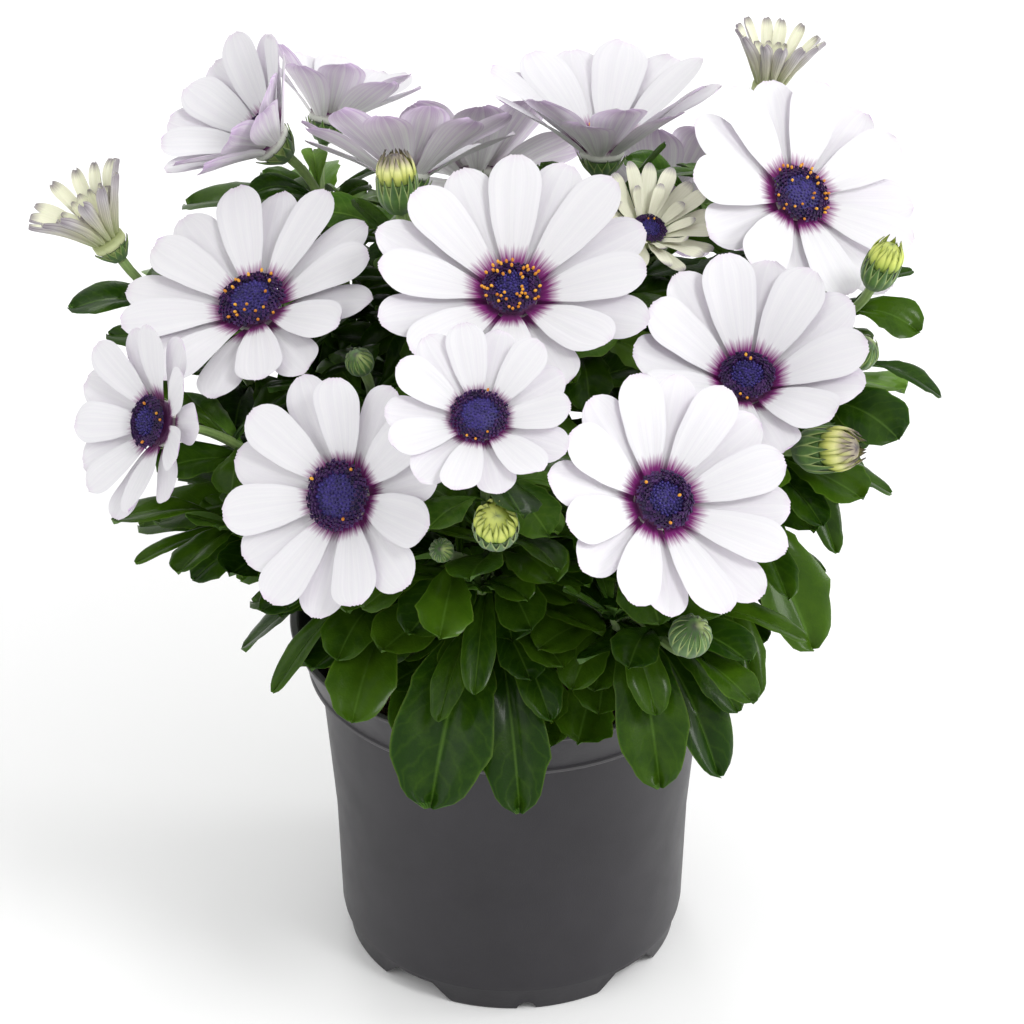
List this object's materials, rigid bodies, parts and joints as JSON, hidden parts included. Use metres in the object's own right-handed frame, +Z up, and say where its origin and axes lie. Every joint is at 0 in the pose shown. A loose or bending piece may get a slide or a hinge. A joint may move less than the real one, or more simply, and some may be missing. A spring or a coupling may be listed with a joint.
{
  "type": "potted osteospermum",
  "caption": "Bushy daisy plant with white blooms, buds and toothed leaves, growing from soil in a round anthracite nursery pot with a rim band and footed base.",
  "frame": {"origin": "middle of the pot's underside, on the plane it stands on", "axes": "+Z up along the pot's axis, -Y towards the side that the picture shows, +X to the right of it"},
  "size_m": [0.2387, 0.2459, 0.2467],
  "materials": {
    "pot": "matt anthracite with a soft sheen",
    "soil": null,
    "foliage": null,
    "white_petals": null,
    "cream_petals": null,
    "bud_petals": null,
    "disc_florets": null
  },
  "bodies": {
    "root": {"bloom_01_disc": "disc_florets", "bloom_01_petals": "white_petals", "bloom_02_disc": "disc_florets", "bloom_02_petals": "white_petals", "bloom_03_disc": "disc_florets", "bloom_03_petals": "white_petals", "bloom_04_disc": "disc_florets", "bloom_04_petals": "white_petals", "bloom_05_disc": "disc_florets", "bloom_05_petals": "white_petals", "bloom_06_disc": "disc_florets", "bloom_06_petals": "white_petals", "bloom_07_disc": "disc_florets", "bloom_07_petals": "white_petals", "bloom_08_disc": "disc_florets", "bloom_08_petals": "white_petals", "bloom_09_disc": "disc_florets", "bloom_09_petals": "white_petals", "bloom_10_disc": "disc_florets", "bloom_10_petals": "white_petals", "bloom_11_disc": "disc_florets", "bloom_11_petals": "white_petals", "bloom_12_disc": "disc_florets", "bloom_12_petals": "white_petals", "bloom_13_disc": "disc_florets", "bloom_13_petals": "cream_petals", "bloom_14_petals": "cream_petals", "bloom_15_petals": "cream_petals", "bloom_16_disc": "disc_florets", "bloom_16_petals": "white_petals", "bloom_17_disc": "disc_florets", "bloom_17_petals": "white_petals", "bud_18_petals": "bud_petals", "bud_19_petals": "bud_petals", "bud_20_petals": "bud_petals", "bud_21_petals": "bud_petals", "pot": "pot", "soil": "soil", "stem_01": "foliage", "stem_02": "foliage", "stem_03": "foliage", "stem_04": "foliage", "stem_05": "foliage", "stem_06": "foliage", "stem_07": "foliage", "stem_08": "foliage", "stem_09": "foliage", "stem_10": "foliage", "stem_11": "foliage", "stem_12": "foliage", "stem_13": "foliage"}
  },
  "joints": []
}
